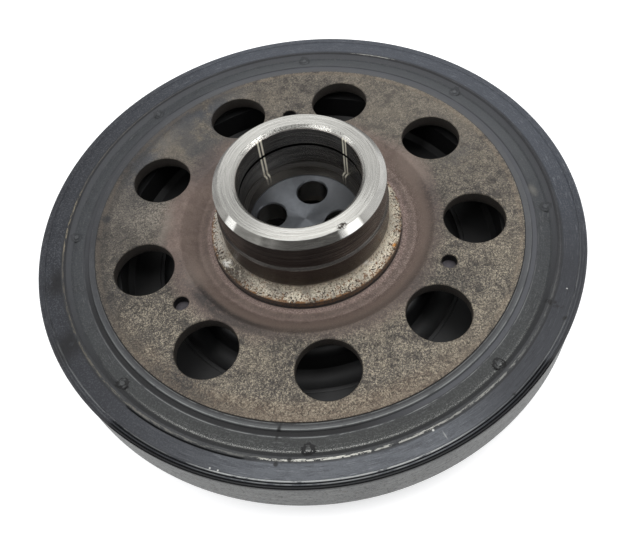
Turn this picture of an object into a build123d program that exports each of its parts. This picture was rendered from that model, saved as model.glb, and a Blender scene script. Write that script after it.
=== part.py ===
"""Harmonic balancer: a crankshaft torsional damper with a decoupled belt pulley.

Millimetres, +Z up. The axis of the crankshaft is Z, and the engine side is up. The part
lies on the front rim of its belt pulley, so the origin is the centre of that rim's plane.
Sections are drawn on the XZ plane as (radius, height) and revolved about Z.
"""

import os
from math import cos, radians, sin, tan

from build123d import *

os.makedirs("parts", exist_ok=True)

# ---------------------------------------------------------------- driving sizes
# Radii run outwards from the crankshaft axis: each piece starts from the one inside it.

# Hub: seal sleeve, bore, web for the crankshaft bolts, foot and spigot
sleeve_radius = 30.0        # the seal runs here
sleeve_step = 0.6           # how much wider the lower part of the sleeve is
sleeve_step_height = 12.4   # where the wider part starts, above the plate's face
sleeve_step_length = 1.2
sleeve_height = 26.0        # above the plate's face
nose_chamfer_radial = 2.2
nose_chamfer_axial = 2.4
pilot_land = 1.8            # flat of the web between the bolt holes and the wall of the seat
pilot_depth = 5.6           # seat of the crankshaft's nose
pilot_step = 1.3            # from the seat out to the open bore
pilot_lead = 0.7            # chamfer that leads the nose into its seat
mouth_chamfer_radial = 1.2
mouth_chamfer_axial = 1.2
ring_groove_height = 16.9   # snap groove in the bore, above the plate's face
ring_groove_width = 0.9
ring_groove_depth = 0.5
web_face_height = 0.9       # crankshaft face of the web, above the plate's face
web_thickness = 10.0
foot_blend = 4.2            # hollow curve from the foot up to the sleeve
foot_edge = 0.3
foot_rim = 3.65             # height of the foot's upright edge
spigot_step = 0.4           # from the sleeve's wider part out to the spigot
rolled_lip_width = 3.0      # edge rolled over to clamp the plate and the cup
rolled_lip_height = 3.0
rolled_lip_round = 1.2

bolt_count = 4
bolt_circle_radius = 12.7
bolt_hole_radius = 5.6
bolt_phase = 71.5           # degrees from +X
bolt_edge = 0.4
bolt_head_space = 9.3       # from a bolt's axis to the wall of the recess

# Carrier plate: a disc with a dished seat for the hub and a turned-down rim
plate_thickness = 6.0
dish_depth = 4.25
dish_floor_width = 5.4      # from the hub's foot to the slope of the dish
dish_slope_width = 6.5
dish_blend = 2.5            # rounding where the slope meets its floor and the face
vent_count = 9
vent_radius = 11.1
vent_inner_land = 3.1       # flat face inside and outside the vent holes
vent_outer_land = 6.2
vent_phase = -90.0          # one vent hole lies on -Y
vent_land = 4.2             # straight wall left by the punch
vent_breakout = 0.8         # how far the hole opens below that land
vent_edge = 0.3
locating_count = 3
locating_radius = 2.75
locating_land = 4.85        # from the dish to the edge of a locating hole
locating_depth = 4.0
locating_phase = 90.0
locating_edge = 0.35
rim_bend_radius = 4.0
rim_inner_corner = 2.0
rim_depth = 17.0            # from the edge of the rim to the plate's face
plate_rebate = 0.8          # step at the edge of the face that stops the rubber

# Damper ring and its bonded rubber
damper_gap = 6.9            # rubber between the plate's rim and the ring
ring_wall = 10.0
ring_width = 16.5
ring_edge = 0.6
skin_thickness = 1.8        # from the rear of the ring to the level of the plate's face
skin_overhang = 0.2
lip_width = 2.4             # widths and drops of the skin, from the inside out
lip_drop = 0.35             # a drop is measured down from the plate's face
groove_width = 1.5
groove_side = 0.4
groove_drop = 1.3
channel_width = 4.2
channel_inner_drop = 1.2
channel_outer_drop = 2.1
channel_wall_width = 2.2
crest_width = 1.1
crest_drop = 0.15
band_side = 0.4
band_drop = 0.5
ridge_count = 3
ridge_pitch = 0.9
ridge_height = 0.45
ridge_groove = 0.35         # depth of the grooves between the ridges
edge_drop = 0.45
meniscus = 2.6              # hollow of the rubber's moulded ends
rubber_setback = 1.0        # from an end of the rubber to the edge of its metal
gate_count = 8              # marks where the rubber was let into its mould
gate_phase = -96.5
gate_radius = 1.9
gate_height = 0.55
gate_pit_radius = 0.9
gate_pit_depth = 0.45
gate_root = 1.2             # buried length of a gate mark

# Belt pulley, running on a bush inside the rim of the carrier plate
bush_wall = 1.6
bush_gap = 0.05             # running gap between the bush and the pulley's collar
bush_flange = 1.5
bush_flange_setback = 1.5   # from the flange's edge to the outside of the plate's rim
bush_top_gap = 0.5          # from the bush to the bend inside the plate's rim
thrust_gap = 0.1            # running gap between the flange and the pulley
collar_wall = 3.0
collar_setback = 0.5        # from the collar's end to the end of the bush
collar_edge = 0.5
groove_count = 6
groove_pitch = 3.56
groove_depth = 2.9
groove_half_angle = 20.0
groove_root_width = 0.75
belt_shoulder = 5.15        # from the collar out to the tops of the ribs
guard_lip = 1.4
guard_width = 1.6
guard_slope = 0.92
guard_edge = 0.5
rim_wall = 3.2
web_plate = 3.5
web_setback = 2.4           # from the rear of the pulley to its web
web_corner = 2.0
barrel_wall = 3.5

# Decoupler: rubber between a cup on the hub and a sleeve in the pulley
cup_flange = 19.0           # from the hub's spigot to the outside of the cup
cup_wall = 3.0
cup_corner = 4.0
decoupler_gap = 8.0
decoupler_sleeve_wall = 1.6
front_setback = 3.0         # from the resting plane to the cup, sleeve and barrel

# ---------------------------------------------------------------- derived places
track_margin = guard_width + guard_slope
pulley_width = groove_count * groove_pitch + 2 * track_margin
web_rear = pulley_width - web_setback
web_front = web_rear - web_plate
rim_edge = pulley_width + thrust_gap + bush_flange
plate_face = rim_edge + rim_depth
plate_under = plate_face - plate_thickness
bush_top = plate_under - rim_inner_corner - bush_top_gap
collar_top = bush_top - collar_setback
dish_floor = plate_face - dish_depth
dish_under = dish_floor - plate_thickness
cup_floor = dish_under - cup_wall
hub_front = cup_floor - rolled_lip_height
foot_top = dish_floor + foot_rim
web_face = plate_face + web_face_height
web_under = web_face - web_thickness
sleeve_top = plate_face + sleeve_height
ring_rear = plate_face - skin_thickness
ring_front = ring_rear - ring_width

pilot_radius = bolt_circle_radius + bolt_hole_radius + bolt_edge + pilot_land
bore_radius = pilot_radius + pilot_step
head_recess_radius = bolt_circle_radius + bolt_head_space
sleeve_land_radius = sleeve_radius + sleeve_step
foot_start = sleeve_land_radius + foot_blend
foot_radius = foot_start + foot_edge
spigot_radius = sleeve_land_radius + spigot_step
rolled_lip_radius = spigot_radius + rolled_lip_width
cup_radius = spigot_radius + cup_flange
decoupler_radius = cup_radius + decoupler_gap
barrel_bore = decoupler_radius + decoupler_sleeve_wall
dish_floor_radius = foot_radius + dish_floor_width
dish_brow_radius = dish_floor_radius + dish_slope_width
locating_circle_radius = dish_brow_radius + locating_land + locating_radius
vent_circle_radius = dish_brow_radius + vent_inner_land + vent_radius
plate_face_radius = vent_circle_radius + vent_radius + vent_outer_land
plate_rim_radius = plate_face_radius + rim_bend_radius
rim_inner_radius = plate_rim_radius - plate_thickness
ring_inner_radius = plate_rim_radius + damper_gap
ring_outer_radius = ring_inner_radius + ring_wall
skin_radius = ring_outer_radius + skin_overhang
bush_inner_radius = rim_inner_radius - bush_wall
collar_radius = bush_inner_radius - bush_gap
pulley_radius = collar_radius + belt_shoulder
guard_radius = pulley_radius + guard_lip


def rim_bend():
    """Outside bend of the carrier plate, which the damper rubber is bonded over."""
    height = plate_face - plate_rebate - rim_bend_radius
    return CenterArc((plate_face_radius, height), rim_bend_radius, 0, 90)


# ---------------------------------------------------------------- hub
with BuildPart() as hub:
    with BuildSketch(Plane.XZ):
        with BuildLine():
            nose_radius = sleeve_radius - nose_chamfer_radial
            step_top = plate_face + sleeve_step_height + sleeve_step_length
            Polyline(
                (foot_start, foot_top),
                (foot_radius, foot_top - foot_edge),
                (foot_radius, dish_floor),
                (spigot_radius, dish_floor),
                (spigot_radius, cup_floor),
                (rolled_lip_radius, cup_floor),
                (rolled_lip_radius, hub_front + rolled_lip_round),
                (rolled_lip_radius - rolled_lip_round, hub_front),
                (head_recess_radius, hub_front),
                (head_recess_radius, web_under),
                (0, web_under),
                (0, web_face),
                (pilot_radius, web_face),
                (pilot_radius, web_face + pilot_depth),
                (pilot_radius + pilot_lead, web_face + pilot_depth + pilot_lead),
                (bore_radius, web_face + pilot_depth + pilot_lead),
                (bore_radius, sleeve_top - mouth_chamfer_axial),
                (bore_radius + mouth_chamfer_radial, sleeve_top),
                (nose_radius, sleeve_top),
                (sleeve_radius, sleeve_top - nose_chamfer_axial),
                (sleeve_radius, step_top),
                (sleeve_land_radius, step_top - sleeve_step_length),
                (sleeve_land_radius, foot_top + foot_blend),
            )
            CenterArc((foot_start, foot_top + foot_blend), foot_blend, 180, 90)
        make_face()
    revolve(axis=Axis.Z)
    with BuildSketch(Plane.XZ):
        with Locations((bore_radius, plate_face + ring_groove_height)):
            Rectangle(2 * ring_groove_depth, ring_groove_width)
    revolve(axis=Axis.Z, mode=Mode.SUBTRACT)
    with BuildSketch(Plane.XY.offset(web_face)):
        with PolarLocations(bolt_circle_radius, bolt_count, start_angle=bolt_phase):
            Circle(bolt_hole_radius)
    extrude(amount=-web_thickness, mode=Mode.SUBTRACT)
    bolt_rims = hub.edges().filter_by(GeomType.CIRCLE).filter_by(
        lambda rim: abs(rim.radius - bolt_hole_radius) < 0.01
    )
    chamfer(bolt_rims, length=bolt_edge)
hub.part.label = "hub"

# ---------------------------------------------------------------- carrier plate
with BuildPart() as carrier_plate:
    with BuildSketch(Plane.XZ):
        with BuildLine():
            slope = Vector(dish_brow_radius - dish_floor_radius, dish_depth)
            lean = radians(slope.get_angle(Vector(1, 0)))
            under_shift = plate_thickness * tan(lean / 2)
            inner_bend = rim_inner_radius - rim_inner_corner
            top = FilletPolyline(
                (spigot_radius, dish_floor),
                (dish_floor_radius, dish_floor),
                (dish_brow_radius, plate_face),
                (plate_face_radius, plate_face),
                radius=dish_blend,
            )
            Line(top @ 1, (plate_face_radius, plate_face - plate_rebate))
            bend = rim_bend()
            Polyline(bend @ 0, (plate_rim_radius, rim_edge), (rim_inner_radius, rim_edge))
            Line(
                (rim_inner_radius, rim_edge),
                (rim_inner_radius, plate_under - rim_inner_corner),
            )
            CenterArc((inner_bend, plate_under - rim_inner_corner), rim_inner_corner, 0, 90)
            under = FilletPolyline(
                (inner_bend, plate_under),
                (dish_brow_radius + under_shift, plate_under),
                (dish_floor_radius + under_shift, dish_under),
                (spigot_radius, dish_under),
                radius=dish_blend,
            )
            Line(under @ 1, top @ 0)
        make_face()
    revolve(axis=Axis.Z)
    with BuildSketch(Plane.XY.offset(plate_face)):
        with PolarLocations(vent_circle_radius, vent_count, start_angle=vent_phase):
            Circle(vent_radius)
    extrude(amount=-plate_thickness, mode=Mode.SUBTRACT)
    vent_rims = carrier_plate.edges().filter_by(GeomType.CIRCLE).filter_by(
        lambda rim: abs(rim.radius - vent_radius) < 0.01
    )
    chamfer(vent_rims.group_by(Axis.Z)[-1], length=vent_edge)
    with PolarLocations(vent_circle_radius, vent_count, start_angle=vent_phase):
        with Locations((0, 0, plate_under + (plate_thickness - vent_land) / 2)):
            Cone(
                bottom_radius=vent_radius + vent_breakout,
                top_radius=vent_radius,
                height=plate_thickness - vent_land,
                mode=Mode.SUBTRACT,
            )
    with BuildSketch(Plane.XY.offset(plate_face)):
        with PolarLocations(locating_circle_radius, locating_count, start_angle=locating_phase):
            Circle(locating_radius)
    extrude(amount=-locating_depth, mode=Mode.SUBTRACT)
    locating_rims = carrier_plate.edges().filter_by(GeomType.CIRCLE).filter_by(
        lambda rim: abs(rim.radius - locating_radius) < 0.01
    )
    chamfer(locating_rims.group_by(Axis.Z)[-1], length=locating_edge)
carrier_plate.part.label = "carrier_plate"

# ---------------------------------------------------------------- damper ring
with BuildPart() as damper_ring:
    with BuildSketch(Plane.XZ):
        with BuildLine():
            Polyline(
                (ring_inner_radius, ring_rear),
                (ring_outer_radius, ring_rear),
                (ring_outer_radius, ring_front + ring_edge),
                (ring_outer_radius - ring_edge, ring_front),
                (ring_inner_radius + ring_edge, ring_front),
                (ring_inner_radius, ring_front + ring_edge),
                close=True,
            )
        make_face()
    revolve(axis=Axis.Z)
damper_ring.part.label = "damper_ring"

# ---------------------------------------------------------------- damper rubber
with BuildPart() as damper_rubber:
    with BuildSketch(Plane.XZ):
        with BuildLine():
            lip_end = plate_face_radius + lip_width
            groove_end = lip_end + groove_width + 2 * groove_side
            channel_end = groove_end + channel_width
            wall_end = channel_end + channel_wall_width
            crest_end = wall_end + crest_width
            ridge_start = skin_radius - ridge_count * ridge_pitch
            groove_level = plate_face - band_drop - ridge_groove
            foot_level = rim_edge + rubber_setback
            skin = [
                (plate_face_radius, plate_face - plate_rebate),
                (plate_face_radius, plate_face - lip_drop),
                (lip_end, plate_face - lip_drop),
                (lip_end + groove_side, plate_face - groove_drop),
                (lip_end + groove_side + groove_width, plate_face - groove_drop),
                (groove_end, plate_face - channel_inner_drop),
                (channel_end, plate_face - channel_outer_drop),
                (wall_end, plate_face - crest_drop),
                (crest_end, plate_face - crest_drop),
                (crest_end + band_side, plate_face - band_drop),
                (ridge_start, plate_face - band_drop),
            ]
            for ridge in range(ridge_count):
                crest = ridge_start + (ridge + 0.35) * ridge_pitch
                root = ridge_start + (ridge + 0.8) * ridge_pitch
                skin.append((crest, plate_face - band_drop + ridge_height))
                skin.append((root, groove_level))
            skin += [
                (skin_radius, plate_face - edge_drop),
                (skin_radius, ring_rear),
                (ring_inner_radius, ring_rear),
                (ring_inner_radius, foot_level),
            ]
            Polyline(*skin)
            middle = (plate_rim_radius + ring_inner_radius) / 2
            ThreePointArc(
                (ring_inner_radius, foot_level),
                (middle, foot_level + meniscus),
                (plate_rim_radius, foot_level),
            )
            bend = rim_bend()
            Line((plate_rim_radius, foot_level), bend @ 0)
        make_face()
    revolve(axis=Axis.Z)
    gate_circle_radius = channel_end - gate_radius / 4
    gate_top = plate_face - channel_outer_drop + gate_height
    with BuildSketch(Plane.XY.offset(gate_top - gate_root)):
        with PolarLocations(gate_circle_radius, gate_count, start_angle=gate_phase):
            Circle(gate_radius)
    extrude(amount=gate_root)
    with BuildSketch(Plane.XY.offset(gate_top)):
        with PolarLocations(gate_circle_radius, gate_count, start_angle=gate_phase):
            Circle(gate_pit_radius)
    extrude(amount=-gate_pit_depth, mode=Mode.SUBTRACT)
damper_rubber.part.label = "damper_rubber"

# ---------------------------------------------------------------- belt pulley
with BuildPart() as belt_pulley:
    with BuildSketch(Plane.XZ):
        with BuildLine():
            barrel_radius = barrel_bore + barrel_wall
            rim_bore = pulley_radius - groove_depth - rim_wall
            collar_bore = collar_radius - collar_wall
            flank = groove_depth * tan(radians(groove_half_angle))
            outline = [
                (barrel_bore, front_setback),
                (barrel_radius, front_setback),
                (barrel_radius, web_front - web_corner),
                (barrel_radius + web_corner, web_front),
                (rim_bore - web_corner, web_front),
                (rim_bore, web_front - web_corner),
                (rim_bore, 0),
                (guard_radius - guard_edge, 0),
                (guard_radius, guard_edge),
                (guard_radius, guard_width),
                (pulley_radius, track_margin),
            ]
            for groove in range(groove_count):
                centre = track_margin + (groove + 0.5) * groove_pitch
                root = groove_root_width / 2
                outline += [
                    (pulley_radius, centre - root - flank),
                    (pulley_radius - groove_depth, centre - root),
                    (pulley_radius - groove_depth, centre + root),
                    (pulley_radius, centre + root + flank),
                ]
            outline += [
                (pulley_radius, pulley_width - track_margin),
                (guard_radius, pulley_width - guard_width),
                (guard_radius, pulley_width - guard_edge),
                (guard_radius - guard_edge, pulley_width),
                (collar_radius, pulley_width),
                (collar_radius, collar_top - collar_edge),
                (collar_radius - collar_edge, collar_top),
                (collar_bore, collar_top),
                (collar_bore, web_rear + web_corner),
                (collar_bore - web_corner, web_rear),
                (barrel_bore, web_rear),
            ]
            Polyline(*outline, close=True)
        make_face()
    revolve(axis=Axis.Z)
belt_pulley.part.label = "belt_pulley"

# ---------------------------------------------------------------- pulley bush
with BuildPart() as pulley_bush:
    with BuildSketch(Plane.XZ):
        with BuildLine():
            flange_radius = plate_rim_radius - bush_flange_setback
            Polyline(
                (bush_inner_radius, rim_edge - bush_flange),
                (flange_radius, rim_edge - bush_flange),
                (flange_radius, rim_edge),
                (rim_inner_radius, rim_edge),
                (rim_inner_radius, bush_top),
                (bush_inner_radius, bush_top),
                close=True,
            )
        make_face()
    revolve(axis=Axis.Z)
pulley_bush.part.label = "pulley_bush"

# ---------------------------------------------------------------- decoupler sleeve
with BuildPart() as decoupler_sleeve:
    with BuildSketch(Plane.XY.offset(front_setback)):
        Circle(barrel_bore)
        Circle(decoupler_radius, mode=Mode.SUBTRACT)
    extrude(amount=web_rear - front_setback)
decoupler_sleeve.part.label = "decoupler_sleeve"

# ---------------------------------------------------------------- decoupler rubber
with BuildPart() as decoupler_rubber:
    with BuildSketch(Plane.XZ):
        with BuildLine():
            rubber_front = front_setback + rubber_setback
            rubber_rear = web_rear - rubber_setback
            middle = (cup_radius + decoupler_radius) / 2
            Line((cup_radius, rubber_front), (cup_radius, rubber_rear))
            ThreePointArc(
                (cup_radius, rubber_rear),
                (middle, rubber_rear - meniscus),
                (decoupler_radius, rubber_rear),
            )
            Line((decoupler_radius, rubber_rear), (decoupler_radius, rubber_front))
            ThreePointArc(
                (decoupler_radius, rubber_front),
                (middle, rubber_front + meniscus),
                (cup_radius, rubber_front),
            )
        make_face()
    revolve(axis=Axis.Z)
decoupler_rubber.part.label = "decoupler_rubber"

# ---------------------------------------------------------------- decoupler cup
with BuildPart() as decoupler_cup:
    with BuildSketch(Plane.XZ):
        with BuildLine():
            cup_bore = cup_radius - cup_wall
            outside = FilletPolyline(
                (spigot_radius, dish_under),
                (cup_radius, dish_under),
                (cup_radius, front_setback),
                radius=cup_corner,
            )
            inside = FilletPolyline(
                (cup_bore, front_setback),
                (cup_bore, cup_floor),
                (spigot_radius, cup_floor),
                radius=cup_corner - cup_wall,
            )
            Line(outside @ 1, inside @ 0)
            Line(inside @ 1, outside @ 0)
        make_face()
    revolve(axis=Axis.Z)
decoupler_cup.part.label = "decoupler_cup"

# ---------------------------------------------------------------- STEP files
export_step(hub.part, "parts/hub.step")
export_step(carrier_plate.part, "parts/carrier_plate.step")
export_step(damper_ring.part, "parts/damper_ring.step")
export_step(damper_rubber.part, "parts/damper_rubber.step")
export_step(belt_pulley.part, "parts/belt_pulley.step")
export_step(pulley_bush.part, "parts/pulley_bush.step")
export_step(decoupler_sleeve.part, "parts/decoupler_sleeve.step")
export_step(decoupler_rubber.part, "parts/decoupler_rubber.step")
export_step(decoupler_cup.part, "parts/decoupler_cup.step")
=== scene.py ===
"""Dresses a crankshaft torsional damper that lies on its belt pulley, with the engine side up."""

import math

import bpy
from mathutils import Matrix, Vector


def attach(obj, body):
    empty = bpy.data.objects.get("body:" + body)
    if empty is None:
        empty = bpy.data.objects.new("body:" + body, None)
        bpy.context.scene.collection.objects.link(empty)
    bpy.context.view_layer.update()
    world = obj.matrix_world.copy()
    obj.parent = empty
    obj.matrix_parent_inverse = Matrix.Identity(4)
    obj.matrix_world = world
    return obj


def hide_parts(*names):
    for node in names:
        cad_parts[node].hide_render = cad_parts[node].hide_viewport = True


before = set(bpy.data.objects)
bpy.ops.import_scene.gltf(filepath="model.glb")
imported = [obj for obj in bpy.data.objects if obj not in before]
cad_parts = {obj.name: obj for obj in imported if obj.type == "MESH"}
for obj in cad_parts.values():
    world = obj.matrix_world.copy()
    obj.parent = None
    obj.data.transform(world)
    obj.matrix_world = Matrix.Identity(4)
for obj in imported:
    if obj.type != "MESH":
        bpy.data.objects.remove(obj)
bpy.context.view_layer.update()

MM = 0.001
SAME_POINT = 0.002 * MM

# Heights above the resting plane and radii from the crankshaft axis, in millimetres
SLEEVE_TOP = 71.0
WEB_FACE = 45.9
WEB_UNDER = 35.9
PLATE_FACE = 45.0
PLATE_UNDER = 39.0
RING_REAR = 43.2
RING_FRONT = 26.7
DISH_FLOOR = 40.75
DISH_UNDER = 34.75
CUP_FLOOR = 31.75
HUB_FRONT = 28.75
RIM_EDGE = 28.0
BARREL_TOP = 24.0
BARREL_FOOT = 3.0
PILOT = 20.5
BORE = 21.8
SLEEVE_OUTSIDE = 30.0
SPIGOT = 31.0
DISH_EDGE = 40.5
FLAT_START = 47.0
CUP_OUTSIDE = 50.0
PULLEY_BARREL = 59.6
RIM_BORE = 76.5
PLATE_FACE_EDGE = 78.5
PLATE_RIM = 82.5
RING_BORE = 89.4
RING_OUTSIDE = 99.4
SKIN_OUTSIDE = 99.6

# Circles round the axis, radii of the holes on them and angles of the first
BOLT_CIRCLE, BOLT_HOLE, FIRST_BOLT = 12.7, 5.6, 71.5
VENT_CIRCLE, VENT_HOLE = 61.2, 11.1
LOCATING_CIRCLE, LOCATING_HOLE = 54.6, 2.75
GATE_CIRCLE, GATE_PAINT_CIRCLE, FIRST_GATE = 86.925, 86.9, -96.5
RIB_PITCH, RIB_TOP, RIB_ROOT, RIB_FLAT = 3.56, 80.0, 77.1, 0.375
RUBBER_HOLLOW = 2.6


# ---------- making pieces


def lay_down_tools():
    """Object mode, with nothing selected."""
    if bpy.context.object and bpy.context.object.mode != "OBJECT":
        bpy.ops.object.mode_set(mode="OBJECT")
    bpy.ops.object.select_all(action="DESELECT")


def pick_up(piece):
    lay_down_tools()
    piece.select_set(True)
    bpy.context.view_layer.objects.active = piece


def pick_all():
    bpy.ops.mesh.select_all(action="SELECT")


def on_circle(radius, turn):
    """A place on a circle round the axis, its angle in degrees."""
    turn = math.radians(turn)
    return radius * math.cos(turn), radius * math.sin(turn)


def arc(centre, radius, start, end, steps):
    """Points of a round from one angle to another, in degrees."""
    points = []
    for step in range(steps + 1):
        across, up = on_circle(radius, start + (end - start) * step / steps)
        points.append((centre[0] + across, centre[1] + up))
    return points


def hollow_curve(half):
    """Radius and half angle of the hollow in a rubber's free end, from half its width."""
    bow = (half * half + RUBBER_HOLLOW * RUBBER_HOLLOW) / (2 * RUBBER_HOLLOW)
    return bow, math.degrees(math.asin(half / bow))


def blend(before, corner, after, radius, steps=6):
    """Points of a round that takes a corner off an outline."""
    into = (Vector(before) - Vector(corner)).normalized()
    out = (Vector(after) - Vector(corner)).normalized()
    half = into.angle(out) / 2
    first = Vector(corner) + into * (radius / math.tan(half))
    last = Vector(corner) + out * (radius / math.tan(half))
    centre = Vector(corner) + (into + out).normalized() * (radius / math.sin(half))
    points = [tuple(first)]
    for step in range(1, steps):
        toward = (first - centre).lerp(last - centre, step / steps).normalized()
        points.append(tuple(centre + toward * radius))
    return points + [tuple(last)]


def turned(name, outline, steps=256):
    """A piece turned from its outline of radii and heights: drawn out point by point, then spun."""
    lay_down_tools()
    start = outline[0]
    bpy.ops.mesh.primitive_plane_add(size=MM, location=(start[0] * MM, 0, start[1] * MM))
    piece = bpy.context.object
    piece.name = name
    piece.data.name = name
    bpy.ops.object.transform_apply(location=True, rotation=True, scale=True)
    bpy.ops.object.mode_set(mode="EDIT")
    bpy.ops.mesh.select_mode(type="VERT")
    pick_all()
    bpy.ops.mesh.merge(type="CENTER")
    here = start
    for point in outline[1:] + [start]:
        step = ((point[0] - here[0]) * MM, 0, (point[1] - here[1]) * MM)
        bpy.ops.mesh.extrude_region_move(TRANSFORM_OT_translate={"value": step})
        here = point
    pick_all()
    bpy.ops.mesh.remove_doubles(threshold=SAME_POINT)
    pick_all()
    bpy.ops.mesh.spin(steps=steps, angle=math.tau, center=(0, 0, 0), axis=(0, 0, 1))
    pick_all()
    bpy.ops.mesh.remove_doubles(threshold=SAME_POINT)
    bpy.ops.mesh.normals_make_consistent(inside=False)
    bpy.ops.object.mode_set(mode="OBJECT")
    return piece


def stack(name, centre, levels, sides):
    """A round plug that widens and narrows from level to level, given as heights and radii."""
    lay_down_tools()
    x, y, bottom = centre[0] * MM, centre[1] * MM, levels[0]
    bpy.ops.mesh.primitive_circle_add(
        vertices=sides, radius=bottom[1] * MM, fill_type="NGON", location=(x, y, bottom[0] * MM)
    )
    piece = bpy.context.object
    piece.name = name
    bpy.ops.object.transform_apply(location=True, rotation=True, scale=True)
    bpy.ops.object.mode_set(mode="EDIT")
    pick_all()
    for below, above in zip(levels, levels[1:]):
        grow = above[1] / below[1]
        rise = (0, 0, (above[0] - below[0]) * MM)
        bpy.ops.mesh.extrude_region_move(TRANSFORM_OT_translate={"value": rise})
        bpy.ops.transform.resize(value=(grow, grow, 1), center_override=(x, y, above[0] * MM))
    pick_all()
    bpy.ops.mesh.normals_make_consistent(inside=False)
    bpy.ops.object.mode_set(mode="OBJECT")
    return piece


def around(piece, count):
    """Copies of a piece at equal steps round the axis, joined into it."""
    copies = []
    for step in range(1, count):
        pick_up(piece)
        bpy.ops.object.duplicate(linked=False)
        copies.append(bpy.context.object)
        bpy.ops.object.mode_set(mode="EDIT")
        pick_all()
        bpy.ops.transform.rotate(value=math.tau * step / count, orient_axis="Z", center_override=(0, 0, 0))
        bpy.ops.object.mode_set(mode="OBJECT")
    pick_up(piece)
    for copy in copies:
        copy.select_set(True)
    bpy.ops.object.join()
    return piece


def combine(piece, other, how):
    """Cuts another piece out of this one, or welds it on, and clears the other away."""
    pick_up(piece)
    made = piece.modifiers.new("cut", "BOOLEAN")
    made.object = other
    made.operation = how
    made.solver = "EXACT"
    bpy.ops.object.modifier_apply(modifier=made.name)
    lay_down_tools()
    other.select_set(True)
    bpy.ops.object.delete()


def break_edges(piece, width):
    """Rounds every edge sharper than 25 degrees."""
    pick_up(piece)
    made = piece.modifiers.new("edges", "BEVEL")
    made.width = width * MM
    made.segments = 2
    made.limit_method = "ANGLE"
    made.angle_limit = math.radians(25)
    made.use_clamp_overlap = True
    made.harden_normals = False
    bpy.ops.object.modifier_apply(modifier=made.name)
    return piece


def finish_shape(piece, angle=38):
    """Smooth shading across every edge flatter than an angle."""
    pick_up(piece)
    bpy.ops.object.shade_smooth_by_angle(angle=math.radians(angle))
    made = piece.modifiers.new("even normals", "WEIGHTED_NORMAL")
    made.keep_sharp = True
    bpy.ops.object.modifier_apply(modifier=made.name)
    return piece


def shift_points(piece, wanted, rise):
    """Moves the points that a test on radius, angle and height picks up by some millimetres."""
    pick_up(piece)
    bpy.ops.object.mode_set(mode="EDIT")
    bpy.ops.mesh.select_mode(type="VERT")
    bpy.ops.mesh.select_all(action="DESELECT")
    bpy.ops.object.mode_set(mode="OBJECT")
    for point in piece.data.vertices:
        radius = math.hypot(point.co.x, point.co.y) / MM
        turn = math.degrees(math.atan2(point.co.y, point.co.x)) % 360
        point.select = wanted(radius, turn, point.co.z / MM)
    bpy.ops.object.mode_set(mode="EDIT")
    bpy.ops.transform.translate(value=(0, 0, rise * MM))
    bpy.ops.object.mode_set(mode="OBJECT")


# ---------- the nine pieces


def make_hub():
    """Seal sleeve, bore, bolted web, flared foot, spigot and rolled lip, turned from one bar."""
    outline = [
        (35.1, 44.1), (35.1, DISH_FLOOR), (SPIGOT, DISH_FLOOR), (SPIGOT, CUP_FLOOR),
        (34, CUP_FLOOR), (34, 29.95), (32.8, HUB_FRONT), (22, HUB_FRONT),
        (22, WEB_UNDER), (0, WEB_UNDER), (0, WEB_FACE), (PILOT, WEB_FACE),
        (PILOT, 51.5), (21.2, 52.2), (BORE, 52.2),
        (BORE, 61.45), (22.3, 61.45), (22.3, 62.35), (BORE, 62.35),
        (BORE, 69.8), (23, SLEEVE_TOP), (27.8, SLEEVE_TOP), (SLEEVE_OUTSIDE, 68.6),
        (SLEEVE_OUTSIDE, 58.6), (30.6, 57.4),
    ]
    outline += arc((34.8, 48.6), 4.2, 180, 270, 10)
    hub = turned("hub_turned", outline, steps=288)
    wide, chamfer = BOLT_HOLE + 0.4, 0.4
    bolt = stack("bolt_drill", on_circle(BOLT_CIRCLE, FIRST_BOLT), [
        (WEB_UNDER - 1, wide + 1), (WEB_UNDER, wide), (WEB_UNDER + chamfer, BOLT_HOLE),
        (WEB_FACE - chamfer, BOLT_HOLE), (WEB_FACE, wide), (WEB_FACE + 1, wide + 1),
    ], sides=64)
    combine(hub, around(bolt, 4), "DIFFERENCE")
    return finish_shape(break_edges(hub, 0.12))


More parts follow.
